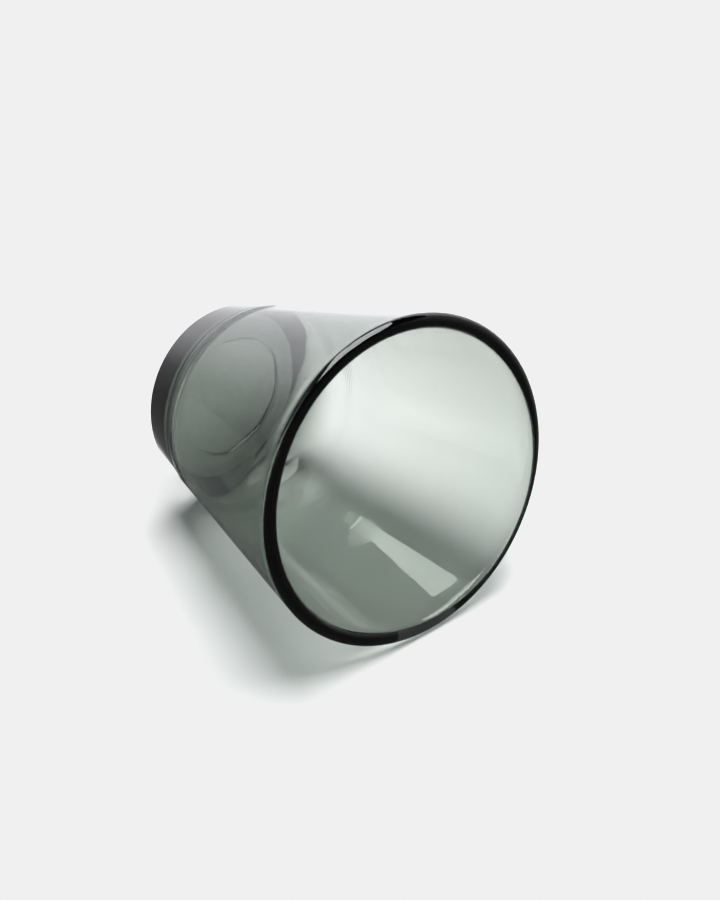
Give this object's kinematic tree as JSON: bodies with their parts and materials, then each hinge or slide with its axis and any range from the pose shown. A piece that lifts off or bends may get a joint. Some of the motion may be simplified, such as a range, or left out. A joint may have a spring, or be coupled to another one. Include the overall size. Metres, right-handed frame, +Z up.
{
  "type": "whiskey tumbler",
  "caption": "Conical whiskey tumbler of smoked grey-green glass with a wide mouth, rounded lip and thick base.",
  "frame": {"origin": "centre of the flat ring that the glass stands on, at its lowest point", "axes": "+Z up along the axis of the cone, from the base to the mouth; +X and +Y are free, as the glass is round"},
  "size_m": [0.092, 0.092, 0.084],
  "materials": {
    "smoked_glass": "gloss"
  },
  "bodies": {
    "root": {"tumbler_glass": "smoked_glass"}
  },
  "joints": []
}
